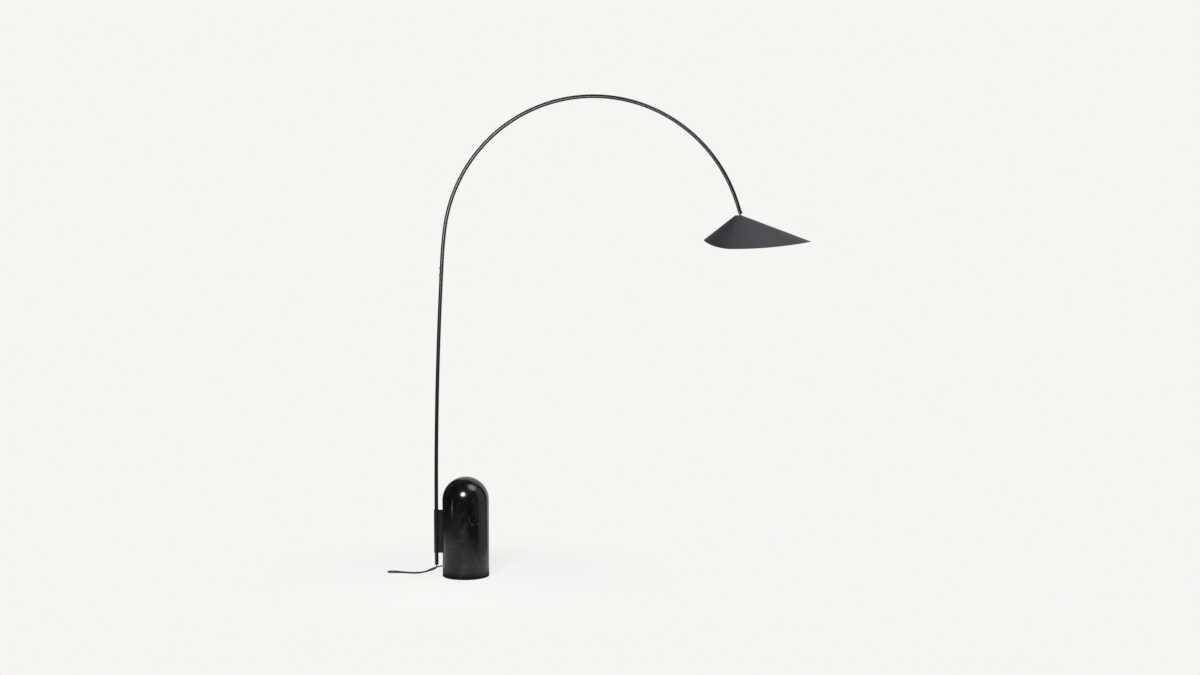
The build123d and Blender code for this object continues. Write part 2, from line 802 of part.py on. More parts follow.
with BuildPart() as cord_coil:
    with BuildLine() as coil_path:
        Line(coil_start, crossings[0])
        for k, (start, end) in enumerate(zip(crossings, crossings[1:])):
            half_turn(start, end, (-1) ** k)
        Line(crossings[-1], coil_end)
    coil_wire = coil_path.wire()
    with BuildSketch(Plane(origin=coil_start, z_dir=end_run)):
        Circle(cord_radius)
    sweep(path=coil_wire)
write(cord_coil.part, "cord_coil")
print(f"coil: length {coil_wire.length:.1f}, least gap to itself {least_gap(coil_wire):.2f}")

strand_inner = coil_inner_turn - half_step - cord_radius
strand_outer = coil_outer + half_step + cord_radius
strand_top = coil_floor + coil_layer + cord_radius
tie_middle = (strand_inner + strand_outer) / 2
tie_inside = (strand_outer - strand_inner + 2 * tie_clearance, strand_top - tie_thickness + tie_clearance)
with BuildPart() as cord_tie:
    tie_plane = Plane(
        origin=(coil_x - tie_width / 2, coil_y - tie_middle, tie_thickness + tie_inside[1] / 2),
        x_dir=(0, 1, 0),
        z_dir=(1, 0, 0),
    )
    with BuildSketch(tie_plane):
        RectangleRounded(tie_inside[0] + 2 * tie_thickness, tie_inside[1] + 2 * tie_thickness, cord_radius)
        RectangleRounded(tie_inside[0], tie_inside[1], cord_radius - tie_thickness, mode=Mode.SUBTRACT)
    extrude(amount=tie_width)
write(cord_tie.part, "cord_tie")

# Plug, lying behind the coil with its pins towards -X

plug_entry = Vector(coil_x - plug_set_in, coil_y + plug_set_back, plug_thickness / 2)
plug_axis = Vector(-1, 0, 0)
plug_root = plug_entry + plug_axis * plug_neck_length
plug_face = plug_root + plug_axis * plug_length
with BuildPart() as plug_body:
    with BuildSketch(Plane(origin=plug_root + plug_axis * (plug_length / 2) - Vector(0, 0, plug_thickness / 2))):
        RectangleRounded(plug_length, plug_width, plug_corner)
    extrude(amount=plug_thickness)
    fillet(plug_body.edges().group_by(Axis.Z)[-1], radius=plug_edge)
    fillet(plug_body.edges().group_by(Axis.Z)[0], radius=plug_edge)
    with BuildSketch(Plane(origin=plug_root + plug_axis * plug_edge, z_dir=plug_axis * -1)):
        Circle(plug_neck_radius)
    with BuildSketch(Plane(origin=plug_entry, z_dir=plug_axis * -1)):
        Circle(plug_neck_tip_radius)
    loft(ruled=True)
    for side in (-pin_spacing / 2, pin_spacing / 2):
        with BuildSketch(Plane(origin=plug_face + Vector(0, side, 0), z_dir=plug_axis * -1)):
            Circle(pin_radius)
        extrude(amount=pin_root, mode=Mode.SUBTRACT)
write(plug_body.part, "plug_body")

with BuildPart() as plug_pins:
    for side in (-pin_spacing / 2, pin_spacing / 2):
        with BuildSketch(Plane(origin=plug_face + Vector(pin_root, side, 0), z_dir=plug_axis)):
            Circle(pin_radius)
        extrude(amount=pin_root + pin_length)
    fillet(plug_pins.edges().filter_by(GeomType.CIRCLE).group_by(Axis.X)[0], radius=pin_edge)
write(plug_pins.part, "plug_pins")

# Free stretches of the cord

floor_z = cord_radius
run_points = [
    (pole_x, 0, bush_foot),
    (pole_x, 0, 38.0),
    (-132.5, 0.6, 31.0),
    (-140.5, 1.6, 25.5),
    (-154.0, 3.0, 20.0),
    (-171.0, 5.2, 14.2),
    (-192.0, 8.0, 8.0),
    (-216.0, 10.6, 3.6),
    (-244.0, 11.6, floor_z),
    (-274.0, 12.0, floor_z),
    (-300.0, 8.6, floor_z),
    (-322.0, 1.5, floor_z),
    (-342.0, 3.5, floor_z),
    (-354.0, 21.0, floor_z),
    (-346.5, 41.0, floor_z),
    (-326.0, 46.5, floor_z),
    (-302.0, 37.0, floor_z),
    (-274.0, 27.0, floor_z),
    (-244.0, 24.0, floor_z),
    (-218.0, 29.0, floor_z),
    (-198.0, 44.0, floor_z),
    (-188.0, 67.0, floor_z),
    (-185.0, 94.0, floor_z),
    (-180.0, 121.0, floor_z),
    (-171.0, 146.0, floor_z),
    (-157.0, 167.0, 3.6),
    (-139.0, 181.0, 6.4),
    (switch_x - boot_tip - straight_out, switch_y, switch_split),
    (switch_x - boot_tip, switch_y, switch_split),
]
link_points = [
    (switch_x + boot_tip, switch_y, switch_split),
    (switch_x + boot_tip + straight_out, switch_y, switch_split),
    (24.5, 190.0, 7.8),
    (31.5, 199.0, 6.3),
    (33.5, 211.0, 5.2),
    (31.0, 223.0, 4.5),
    (coil_start.X, coil_start.Y - straight_out, coil_floor),
    (coil_start.X, coil_start.Y, coil_floor),
]
tail_points = [
    (coil_end.X, coil_end.Y, coil_end.Z),
    (coil_end.X, coil_end.Y + straight_out, coil_end.Z),
    (28.0, 283.0, 9.6),
    (19.0, 300.0, 8.0),
    (7.0, 310.0, 7.2),
    (plug_entry.X + straight_out, plug_entry.Y, plug_entry.Z),
    (plug_entry.X, plug_entry.Y, plug_entry.Z),
]
cord_routes = {"cord_run": run_points, "cord_link": link_points, "cord_tail": tail_points}
cord_length = coil_wire.length
for route_name, points in cord_routes.items():
    radii = bend_radii(points)
    with BuildPart() as cord_piece:
        with BuildLine() as cord_path:
            FilletPolyline(*points, radius=radii)
        with BuildSketch(Plane(origin=cord_path.line @ 0, z_dir=cord_path.line % 0)):
            Circle(cord_radius)
        sweep()
    write(cord_piece.part, route_name)
    route_length = cord_path.wire().length
    cord_length += route_length
    cord_report(route_name, route_length, cord_piece.part.volume, radii)
print(f"cord: {cord_length:.0f} long, with the coil")
print(f"tip: ball centre {ball_centre}, arch end {arch_end}, seam {seam}, apex {apex_x:.2f} {apex_z:.2f}")
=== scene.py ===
"""Looks of an arc floor lamp, in metres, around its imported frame.

The lamp has a domed marble base, a black arched pole and a folded shade, dark outside and white inside.
"""
import json
import math

import bpy
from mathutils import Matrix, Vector


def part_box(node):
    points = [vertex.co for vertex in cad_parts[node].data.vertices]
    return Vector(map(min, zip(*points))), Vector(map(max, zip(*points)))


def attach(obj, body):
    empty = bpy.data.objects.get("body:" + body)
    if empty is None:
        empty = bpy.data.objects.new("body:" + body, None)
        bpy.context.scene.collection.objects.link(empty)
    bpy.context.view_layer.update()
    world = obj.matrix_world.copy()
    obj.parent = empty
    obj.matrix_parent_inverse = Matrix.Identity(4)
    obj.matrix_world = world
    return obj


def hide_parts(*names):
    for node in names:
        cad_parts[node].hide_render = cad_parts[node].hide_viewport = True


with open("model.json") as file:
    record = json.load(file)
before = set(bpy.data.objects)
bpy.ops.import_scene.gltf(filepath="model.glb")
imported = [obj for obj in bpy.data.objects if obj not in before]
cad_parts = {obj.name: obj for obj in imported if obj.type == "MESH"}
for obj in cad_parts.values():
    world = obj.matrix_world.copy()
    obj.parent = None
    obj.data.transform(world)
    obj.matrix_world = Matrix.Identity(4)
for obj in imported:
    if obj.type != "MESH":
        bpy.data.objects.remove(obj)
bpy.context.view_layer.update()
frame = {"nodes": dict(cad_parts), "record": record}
nodes = frame["nodes"]

# Camera, from the photograph's frame
PHOTO_WIDTH = 1200
PHOTO_HEIGHT = 675
FOCAL_PIXELS = 1810
SENSOR_WIDTH = 36.0
CAMERA_YAW = math.radians(9)
CAMERA_PITCH = math.radians(4)
BASE_DEPTH = 7.8
BASE_PIXEL = (466.05, 575.66)

# Cord, with the route of each stretch
CORD_RADIUS = 0.0028
CORD_SIDES = 5
CORD_STEPS = 8
CORD_EXIT = (-0.1295, 0.0, 0.0445)
RUN_POINTS = [
    CORD_EXIT,
    (-0.1295, 0.0, 0.0375),
    (-0.1325, 0.0004, 0.030),
    (-0.1405, 0.001, 0.0242),
    (-0.154, 0.0018, 0.0186),
    (-0.171, 0.0034, 0.0133),
    (-0.192, 0.005, 0.0078),
    (-0.216, 0.0046, 0.0034),
    (-0.244, 0.004, 0.0028),
    (-0.274, 0.009, 0.0028),
    (-0.300, 0.0105, 0.0028),
    (-0.322, 0.0045, 0.0028),
    (-0.342, 0.003, 0.0028),
    (-0.3545, 0.016, 0.0028),
    (-0.348, 0.032, 0.0028),
    (-0.325, 0.0355, 0.0028),
    (-0.302, 0.0285, 0.0028),
    (-0.274, 0.020, 0.0028),
    (-0.244, 0.0155, 0.0028),
    (-0.218, 0.0215, 0.0028),
    (-0.198, 0.0375, 0.0028),
    (-0.188, 0.063, 0.0028),
    (-0.185, 0.093, 0.0028),
    (-0.180, 0.121, 0.0028),
    (-0.171, 0.146, 0.0028),
    (-0.157, 0.167, 0.0036),
    (-0.139, 0.181, 0.0064),
    (-0.126, 0.186, 0.009),
    (-0.116, 0.186, 0.009),
]
SWITCH_EXIT = (0.004, 0.186, 0.009)
LINK_POINTS = [
    SWITCH_EXIT,
    (0.014, 0.186, 0.009),
    (0.0245, 0.190, 0.0078),
    (0.0315, 0.199, 0.0063),
    (0.0335, 0.211, 0.0052),
    (0.031, 0.223, 0.0045),
    (0.0295, 0.2344, 0.0043),
]
TAIL_POINTS = [
    (0.0312, 0.2656, 0.0109),
    (0.028, 0.283, 0.0096),
    (0.019, 0.300, 0.008),
    (0.007, 0.310, 0.0072),
    (-0.004, 0.312, 0.007),
    (-0.014, 0.312, 0.007),
]
COIL_CENTRE = (-0.008, 0.250)
COIL_OUTER = 0.0375
COIL_PITCH = 0.0064
COIL_FLOOR = 0.0043
COIL_LAYER = 0.0066
COIL_INNER_TURN = 0.020
COIL_CLIMB_END = 0.0145
COIL_LOWER_HALVES = 5
COIL_UPPER_HALVES = 6
HALF_TURN_POINTS = 8

# Marble base
BASE_SIDES = 160
BASE_EDGE = 0.002
PAD_CLEARANCE = 0.0003
DOME_STEPS = 40
EDGE_STEPS = 6
SIDE_STEPS = 12
UPRIGHT_LINE_X = -0.033
UPRIGHT_LINE_HALF_WIDTH = 0.0022
UPRIGHT_LINE_WANDER = 0.009
UPRIGHT_LINE_FOOT = (0.24, 0.31)
UPRIGHT_LINE_TOP = (0.355, 0.335)

# Tubes, from the foot of the pole over the arch, each bend with its radius and angle
TUBE_RADIUS = 0.008
TUBE_BORE = 0.006
TUBE_SIDES = 40
TUBE_EDGE = 0.0003
POLE_X = -0.1295
POLE_FOOT = 0.0465
POLE_STRAIGHT = 0.2555
POLE_BEND = (17.5, math.radians(3.13))
JOINT_STRAIGHT = 0.05
EASE_BEND = (1.75, math.radians(4.32))
ARCH_BEND = (0.641, math.radians(155.05))
BEND_STEP = math.radians(1.25)
BEND_LEAST_STEPS = 8
GROOVE_HEIGHTS = (0.159, 0.222)
GROOVE_HALF = 0.0028
GROOVE_DEPTH = 0.001

# Shade, whose cap lies a fine gap from the collar and the washer that hold it
STEEP_ANGLE = math.radians(38.0)
SIDE_ANGLE = math.radians(36.9)
SHALLOW_ANGLE = math.radians(20.6)
SHORT_REACH = 0.139
LONG_REACH = 0.307
FLANK_DROP = 0.143
FLANK_PLACE = -0.005
CAP_DROP = 0.0065
STEM_OFFSET = 0.0115
STEM_HOLE = 0.00315
SHADE_WALL = 0.0012
SEAT_GAP = 0.00005
SHADE_SIDES = 192
SHADE_STEPS = 10
SEARCH_STEPS = 40

# Strain reliefs and plug, with grooves and grips as (share of the pitch, share of the depth)
SMALL_SIDES = 40
BOOT_RADIUS = 0.0054
BOOT_TIP_RADIUS = 0.0037
BOOT_COLLAR = 0.004
BOOT_RIBS = 5
RIB_DEPTH = 0.0008
RIB_TOP = (0.2, 0.5, 0.8)
RIB_GROOVE = ((0.9, 0.7), (1.0, 1.0))
PLUG_NECK = 0.022
PLUG_NECK_RADIUS = 0.006
PLUG_NECK_TIP = 0.0038
PLUG_RIBS = 6
PLUG_SHOULDER = 0.012
PLUG_WAIST = 0.0016
PLUG_FACE_EDGE = 0.0016
PLUG_FACE_SECTION = ((0, 1), (1 / 3, 1 / 3), (1, 0))
PLUG_GRIPS = 5
GRIP_PITCH = 0.0026
GRIP_DEPTH = 0.0007
GRIP_SECTION = ((0.0, 0.0), (0.25, 1.0), (0.5, 1.0), (0.75, 0.0))
BOX_POWER = 5.0
ROUND_POWER = 2.0

# Meshes
SHARP_ANGLE = math.radians(30)

# Colour ramps of mottled finishes, and the colour sockets of a Mix node
MOTTLE_LOW = 0.3
MOTTLE_HIGH = 0.7
MIX_INPUTS = (0, 6, 7)
MIX_OUTPUT = 2

# Room
PALE = (0.922, 0.913, 0.896, 1.0)
AMBIENT = (0.25, 0.25, 0.254, 1.0)
ROOM_DARK = (0.02, 0.02, 0.02, 1.0)
WALL_LEVEL = (0.88, 0.88, 0.895, 1.0)
WALL_NEAREST = 0.05

# Mirrored walls, each with its azimuth, its side and top edges as slopes, and its share of the level
BACK_WALL = (math.radians(7), (0.78, 0.62), (1.75, 1.40), 1.0)
SIDE_WALL = (math.radians(80), (0.42, 0.35), (1.60, 1.30), 0.66)

# Floor
FLOOR_RADIUS = 4.5
FLOOR_EDGES = 96
FLOOR_HEIGHT = -0.0002
FLOOR_FADE = (0.35, 0.95)
FLOOR_SHADOW = 0.14
FLOOR_TINT = (0.90, 0.892, 0.876, 1.0)

# Mirrored floor: a painted pool of light in a round patch, with a painted contact shadow close round the lamp
FLOOR_PATCH_CENTRE = (-0.20, -0.10, 0.0)
FLOOR_PATCH = (1.10, 0.60)
# Painted contact shadow: distances from the lamp's base over which the mirrored light fades in
FLOOR_CONTACT_SHADOW = (0.08, 0.30)
FLOOR_BRIGHT = (0.74, 0.74, 0.755, 1.0)
FLOOR_DARK = (0.03, 0.03, 0.03, 1.0)

# Mirrored sectors of painted light on the floor, each with its azimuth, its edges as cosines, and its share
# of the level
FLOOR_BACK = (math.radians(7), (0.777, 0.839), 1.0)
FLOOR_SIDE = (math.radians(79), (0.890, 0.935), 0.66)

# Lamps
KEY_PLACE = (-0.0625, -1.815, 1.592)
KEY_AIM = (0.0, 0.0, 0.7)
KEY_SIZE = 0.69
KEY_POWER = 48
KEY_TINT = (1.0, 1.0, 1.0)
OVERHEAD_PLACE = (2.10, -0.32, 4.20)
OVERHEAD_AIM = (1.0, 0.0, 1.3)
OVERHEAD_SIZE = 2.4
OVERHEAD_POWER = 60
OVERHEAD_TINT = (0.93, 0.96, 1.0)


def grey(level):
    """An opaque neutral colour."""
    return (level, level, level, 1.0)


# Camera


def make_camera():
    """A camera that sees the base where the photograph shows it."""
    right = Vector((math.cos(CAMERA_YAW), math.sin(CAMERA_YAW), 0))
    level = Vector((-math.sin(CAMERA_YAW), math.cos(CAMERA_YAW), 0))
    upright = Vector((0, 0, 1))
    forward = level * math.cos(CAMERA_PITCH) - upright * math.sin(CAMERA_PITCH)
    up = level * math.sin(CAMERA_PITCH) + upright * math.cos(CAMERA_PITCH)
    across = (BASE_PIXEL[0] - PHOTO_WIDTH / 2) / FOCAL_PIXELS
    down = (BASE_PIXEL[1] - PHOTO_HEIGHT / 2) / FOCAL_PIXELS
    data = bpy.data.cameras.new("camera")
    data.sensor_width = SENSOR_WIDTH
    data.lens = SENSOR_WIDTH * FOCAL_PIXELS / PHOTO_WIDTH
    camera = bpy.data.objects.new("camera", data)
    camera.location = (forward + right * across - up * down) * -BASE_DEPTH
    camera.rotation_euler = (math.pi / 2 - CAMERA_PITCH, 0, CAMERA_YAW)
    bpy.context.scene.collection.objects.link(camera)
    bpy.context.scene.camera = camera


make_camera()


# Cords


def make_cord(name, points):
    """A round cord whose smooth line has the route's points as its control points."""
    curve = bpy.data.curves.new(name, "CURVE")
    curve.dimensions = "3D"
    spline = curve.splines.new("NURBS")
    spline.points.add(len(points) - 1)
    for place, point in zip(spline.points, points):
        place.co = (*point, 1.0)
        place.radius = CORD_RADIUS
    spline.order_u = 3
    spline.use_endpoint_u = True
    spline.use_smooth = True
    curve.resolution_u = CORD_STEPS
    # A bevel depth of 1 makes each point's radius the cord's own, in metres
    curve.bevel_depth = 1.0
    curve.bevel_resolution = CORD_SIDES
    curve.use_fill_caps = True
    curve.materials.append(FINISHES["cord_cover"])
    piece = bpy.data.objects.new(name, curve)
    bpy.context.scene.collection.objects.link(piece)
    return piece


def coil_points():
    """Control points of the coil: half turns that spiral in on the floor and out again a layer higher."""
    half_step = COIL_PITCH / 2
    lower = [(-1) ** k * (COIL_OUTER - k * half_step) for k in range(COIL_LOWER_HALVES + 1)]
    upper = [(-1) ** k * (COIL_INNER_TURN + k * half_step) for k in range(1, COIL_UPPER_HALVES + 1)]
    crossings = [(x, COIL_FLOOR) for x in lower]
    crossings += [(x, COIL_FLOOR + COIL_LAYER) for x in [COIL_CLIMB_END, *upper]]
    # The control points stand out so that the spline between them keeps the turn's radius
    spread = 1 / math.cos(math.pi / (2 * HALF_TURN_POINTS))
    points = []
    for k, (start, end) in enumerate(zip(crossings, crossings[1:])):
        middle = (start[0] + end[0]) / 2
        reach = (start[0] - end[0]) / 2
        side = (-1) ** k
        for step in range(HALF_TURN_POINTS):
            share = (step + 0.5) / HALF_TURN_POINTS
            angle = share * math.pi
            x = middle + reach * spread * math.cos(angle)
            y = side * abs(reach) * spread * math.sin(angle)
            z = start[1] + share * (end[1] - start[1])
            points.append((COIL_CENTRE[0] + x, COIL_CENTRE[1] + y, z))
    return points


# Material nodes


class Nodes:
    """A node tree, with short calls for the nodes that materials and the world are made of."""

    def __init__(self, tree):
        self.tree = tree

    def join(self, output, socket):
        """Link an output to a socket."""
        self.tree.links.new(output, socket)

    def fill(self, socket, value):
        """Link a socket to another node's output, or set its value."""
        if isinstance(value, bpy.types.NodeSocket):
            self.join(value, socket)
        else:
            socket.default_value = value

    def node(self, kind, **inputs):
        """A node of a kind with its inputs filled by name, an underscore standing for a space."""
        made = self.tree.nodes.new(kind)
        for socket, value in inputs.items():
            self.fill(made.inputs[socket.replace("_", " ")], value)
        return made

    def math(self, operation, *values):
        """The result of an operation on numbers."""
        made = self.tree.nodes.new("ShaderNodeMath")
        made.operation = operation
        for socket, value in zip(made.inputs, values):
            self.fill(socket, value)
        return made.outputs["Value"]

    def product(self, first, second):
        """Two factors multiplied."""
        return self.math("MULTIPLY", first, second)

    def vector(self, operation, output, *values):
        """A vector operation's Vector or Value output."""
        made = self.tree.nodes.new("ShaderNodeVectorMath")
        made.operation = operation
        for socket, value in zip(made.inputs, values):
            self.fill(socket, value)
        return made.outputs[output]

    def along(self, vector, direction):
        """How far a vector reaches in a direction."""
        return self.vector("DOT_PRODUCT", "Value", vector, direction)

    def between(self, value, low, high):
        """A smooth step from 0 at the low value to 1 at the high one, which may be the smaller."""
        made = self.tree.nodes.new("ShaderNodeMapRange")
        made.interpolation_type = "SMOOTHSTEP"
        ends = (low, high, 0.0, 1.0) if low < high else (high, low, 1.0, 0.0)
        for socket, number in zip(made.inputs, (value, *ends)):
            self.fill(socket, number)
        return made.outputs["Result"]

    def spread(self, factor, low, high):
        """A factor from 0 to 1 mapped to a range."""
        return self.node("ShaderNodeMapRange", Value=factor, To_Min=low, To_Max=high).outputs["Result"]

    def mixed(self, factor, first, second):
        """Two colours mixed by a factor."""
        made = self.tree.nodes.new("ShaderNodeMix")
        made.data_type = "RGBA"
        for place, value in zip(MIX_INPUTS, (factor, first, second)):
            self.fill(made.inputs[place], value)
        return made.outputs[MIX_OUTPUT]


class Finish(Nodes):
    """A material around one Principled shader, with short calls for what drives it."""

    def __init__(self, name, **settings):
        self.material = bpy.data.materials.new(name)
        self.material.use_nodes = True
        super().__init__(self.material.node_tree)
        self.shader = self.tree.nodes["Principled BSDF"]
        self.coordinates = self.tree.nodes.new("ShaderNodeTexCoord").outputs["Object"]
        for socket, value in settings.items():
            self.shader.inputs[socket.replace("_", " ")].default_value = value

    def stretched(self, scale):
        """Object coordinates scaled by a factor for each axis."""
        return self.node("ShaderNodeMapping", Vector=self.coordinates, Scale=scale).outputs["Vector"]

    def warped(self, scale, amount, stretch):
        """Stretched coordinates pushed about by a noise of a scale, by up to an amount."""
        push = self.node(
            "ShaderNodeTexNoise", Vector=self.coordinates, Scale=scale, Detail=5.0, Roughness=0.55
        )
        amounts = (amount, amount, amount)
        return self.vector("MULTIPLY_ADD", "Vector", push.outputs["Color"], amounts, self.stretched(stretch))

    def noise(self, scale, detail, rough=0.5, vector=None):
        """A noise from 0 to 1 over object coordinates, or over a vector."""
        where = vector or self.coordinates
        made = self.node("ShaderNodeTexNoise", Vector=where, Scale=scale, Detail=detail, Roughness=rough)
        return made.outputs["Fac"]

    def cracks(self, vector, scale, width):
        """Thin lines along the walls of random cells."""
        cells = self.node("ShaderNodeTexVoronoi", Vector=vector, Scale=scale)
        cells.feature = "DISTANCE_TO_EDGE"
        return self.between(cells.outputs["Distance"], width, 0.0)

    def ramp(self, factor, *stops):
        """A colour ramp through stops of (place, colour)."""
        made = self.node("ShaderNodeValToRGB", Fac=factor)
        elements = made.color_ramp.elements
        while len(elements) < len(stops):
            elements.new(1.0)
        for element, (place, colour) in zip(elements, stops):
            element.position = place
            element.color = colour
        return made.outputs["Color"]

    def colour(self, output):
        """Take the base colour from an output."""
        self.join(output, self.shader.inputs["Base Color"])

    def mottle(self, factor, dark, light):
        """A colour that drifts from a dark to a light tone."""
        self.colour(self.ramp(factor, (MOTTLE_LOW, dark), (MOTTLE_HIGH, light)))

    def roughness(self, factor, low, high):
        """A roughness that drifts from a low to a high value."""
        self.join(self.spread(factor, low, high), self.shader.inputs["Roughness"])

    def bump(self, height, depth, strength=1.0):
        """Shade the surface as if a height from 0 to 1 stood out by a depth."""
        made = self.node("ShaderNodeBump", Height=height, Distance=depth, Strength=strength)
        self.join(made.outputs["Normal"], self.shader.inputs["Normal"])


def marble():
    """Polished black marble: dim clouds, faint broken veins and one fine light upright line."""
    made = Finish("black_marble", IOR=1.5)
    warped = made.warped(7.0, 0.16, (1.0, 1.0, 0.55))
    clouds = made.ramp(
        made.noise(16.0, 7.0, 0.62, made.stretched((1.0, 1.0, 0.45))),
        (0.40, (0.002, 0.002, 0.0022, 1)),
        (0.56, (0.006, 0.006, 0.0065, 1)),
        (0.74, (0.022, 0.022, 0.024, 1)),
    )
    fine = made.product(made.cracks(warped, 19.0, 0.030), made.between(made.noise(13.0, 4.0), 0.52, 0.72))
    veins = made.product(made.cracks(warped, 7.5, 0.016), made.between(made.noise(9.0, 4.0), 0.50, 0.70))
    # One fine light upright line through the stone, broken along its length
    wander = made.warped(24.0, UPRIGHT_LINE_WANDER, (1.0, 1.0, 1.0))
    place = made.node("ShaderNodeSeparateXYZ", Vector=wander).outputs
    aside = made.math("ABSOLUTE", made.math("SUBTRACT", place["X"], UPRIGHT_LINE_X))
    reach = made.product(made.between(place["Z"], *UPRIGHT_LINE_FOOT), made.between(place["Z"], *UPRIGHT_LINE_TOP))
    broken = made.product(reach, made.noise(60.0, 3.0))
    upright = made.product(made.between(aside, UPRIGHT_LINE_HALF_WIDTH, 0.0), broken)
    with_fine = made.mixed(fine, clouds, (0.045, 0.045, 0.048, 1))
    with_veins = made.mixed(veins, with_fine, (0.105, 0.105, 0.112, 1))
    made.colour(made.mixed(upright, with_veins, grey(0.20)))
    made.roughness(made.noise(40.0, 4.0), 0.13, 0.21)
    return made.material


def powder_coat(name, dark, light, rough):
    """Baked matte coating with the fine orange peel that it cures to."""
    made = Finish(name, IOR=1.5)
    made.mottle(made.noise(220.0, 3.0), dark, light)
    made.roughness(made.noise(600.0, 2.0), rough - 0.02, rough + 0.02)
    made.bump(made.noise(1200.0, 2.0), 0.00003, 0.15)
    return made.material


def metal(name, dark, light, rough, stretch=(1.0, 1.0, 14.0)):
    """Bare or plated metal with fine tool lines."""
    made = Finish(name, Metallic=1.0)
    lines = made.noise(420.0, 4.0, vector=made.stretched(stretch))
    made.mottle(made.noise(160.0, 3.0), dark, light)
    made.roughness(lines, rough - 0.06, rough + 0.08)
    made.bump(lines, 0.00003, 0.5)
    return made.material


def moulded(name, dark, light, rough):
    """Moulded plastic with a fine spark-eroded grain."""
    made = Finish(name, IOR=1.5)
    made.mottle(made.noise(90.0, 4.0), dark, light)
    made.roughness(made.noise(500.0, 2.0), rough - 0.05, rough + 0.07)
    made.bump(made.noise(2600.0, 1.0), 0.00004, 0.5)
    return made.material


def rubber_pad():
    """Dark foam rubber with an open grain."""
    made = Finish("pad_rubber", IOR=1.4)
    made.mottle(made.noise(700.0, 5.0), grey(0.02), grey(0.06))
    made.roughness(made.noise(300.0, 3.0), 0.85, 1.0)
    made.bump(made.noise(1200.0, 4.0), 0.0004)
    return made.material


def ceramic():
    """White porcelain with faint specks."""
    made = Finish("porcelain", IOR=1.5)
    specks = made.noise(350.0, 4.0)
    made.colour(made.ramp(specks, (0.25, (0.66, 0.64, 0.58, 1)), (0.5, (0.78, 0.77, 0.72, 1))))
    made.roughness(made.noise(120.0, 3.0), 0.18, 0.30)
    made.bump(made.noise(60.0, 2.0), 0.0002, 0.3)
    return made.material


def opal_glass():
    """Opal bulb glass, white in its depth and smooth on its face."""
    made = Finish("opal_glass", IOR=1.46, Subsurface_Weight=0.25, Subsurface_Scale=0.004)
    made.mottle(made.noise(45.0, 3.0), (0.80, 0.79, 0.76, 1), (0.86, 0.85, 0.82, 1))
    made.roughness(made.noise(80.0, 2.0), 0.22, 0.32)
    return made.material


def braided_cover():
    """Black textile braid over the cord's core."""
    made = Finish("cord_braid", IOR=1.45, Sheen_Weight=0.15, Sheen_Roughness=0.5)
    cells = made.node("ShaderNodeTexVoronoi", Vector=made.coordinates, Scale=1300.0)
    cells.feature = "SMOOTH_F1"
    strands = cells.outputs["Distance"]
    made.colour(made.ramp(strands, (0.1, grey(0.030)), (0.8, grey(0.008))))
    made.roughness(made.noise(260.0, 3.0), 0.62, 0.82)
    made.bump(strands, 0.00025, 0.8)
    return made.material


def white_paint():
    """Matte white stove enamel inside the shade."""
    made = Finish("shade_white", IOR=1.5)
    made.mottle(made.noise(140.0, 3.0), (0.74, 0.74, 0.73, 1), (0.80, 0.80, 0.79, 1))
    made.roughness(made.noise(700.0, 2.0), 0.45, 0.58)
    made.bump(made.noise(1400.0, 2.0), 0.00005, 0.5)
    return made.material


FINISHES = {
    "marble": marble(),
    "pad": rubber_pad(),
    "black_metal": powder_coat("black_coat", grey(0.006), grey(0.009), rough=0.32),
    "shade_metal": powder_coat(
        "shade_coat", (0.0125, 0.013, 0.015, 1), (0.0165, 0.017, 0.0195, 1), rough=0.56
    ),
    "screw_steel": metal("black_steel", grey(0.03), grey(0.06), rough=0.34),
    "zinc_steel": metal("zinc_plate", (0.50, 0.51, 0.53, 1), grey(0.62), rough=0.30),
    "brass": metal("turned_brass", (0.62, 0.43, 0.16, 1), (0.72, 0.52, 0.22, 1), rough=0.24),
    "bush_plastic": moulded("bush_nylon", grey(0.020), grey(0.030), rough=0.48),
    "holder_plastic": moulded("holder_bakelite", grey(0.012), grey(0.020), rough=0.30),
    "holder_ceramic": ceramic(),
    "bulb_white": moulded("bulb_plastic", (0.74, 0.74, 0.72, 1), (0.80, 0.80, 0.78, 1), rough=0.38),
    "bulb_glass": opal_glass(),
    "cord_cover": braided_cover(),
    "plug_plastic": moulded("plug_plastic", grey(0.012), grey(0.019), rough=0.42),
    "pin_metal": metal(
        "pin_nickel", (0.66, 0.65, 0.62, 1), (0.76, 0.75, 0.72, 1), rough=0.20, stretch=(14.0, 1.0, 1.0)
    ),
}
SHADE_INSIDE = white_paint()
# Painted shade: the bracket takes a darker copy of the black coat, so that it renders darker than the tube
BRACKET_SHADED_COAT = powder_coat("bracket_shaded_coat", grey(0.003), grey(0.006), rough=0.37)

for subpart in frame["record"]["subparts"]:
    for place in nodes[subpart["node"]].material_slots:
        place.material = FINISHES[subpart["material_slot"]]
# The bracket's slots take the darker, painted-shade copy of the black coat
for place in nodes["pole_bracket"].material_slots:
    place.material = BRACKET_SHADED_COAT


# Meshes


def make_piece(name, points, faces, materials, face_materials=None):
    """A mesh piece, shaded smooth except at its edges, with the place of each face's material."""
    mesh = bpy.data.meshes.new(name)
    mesh.from_pydata(points, [], faces)
    for finish in materials:
        mesh.materials.append(finish)
    if face_materials:
        mesh.polygons.foreach_set("material_index", face_materials)
    mesh.polygons.foreach_set("use_smooth", [True] * len(faces))
    mesh.set_sharp_from_angle(angle=SHARP_ANGLE)
    piece = bpy.data.objects.new(name, mesh)
    bpy.context.scene.collection.objects.link(piece)
    return piece


def ring_faces(first, second, count):
    """Quads between two rings of points, by the index where each ring starts."""
    return [
        (first + k, first + (k + 1) % count, second + (k + 1) % count, second + k)
        for k in range(count)
    ]


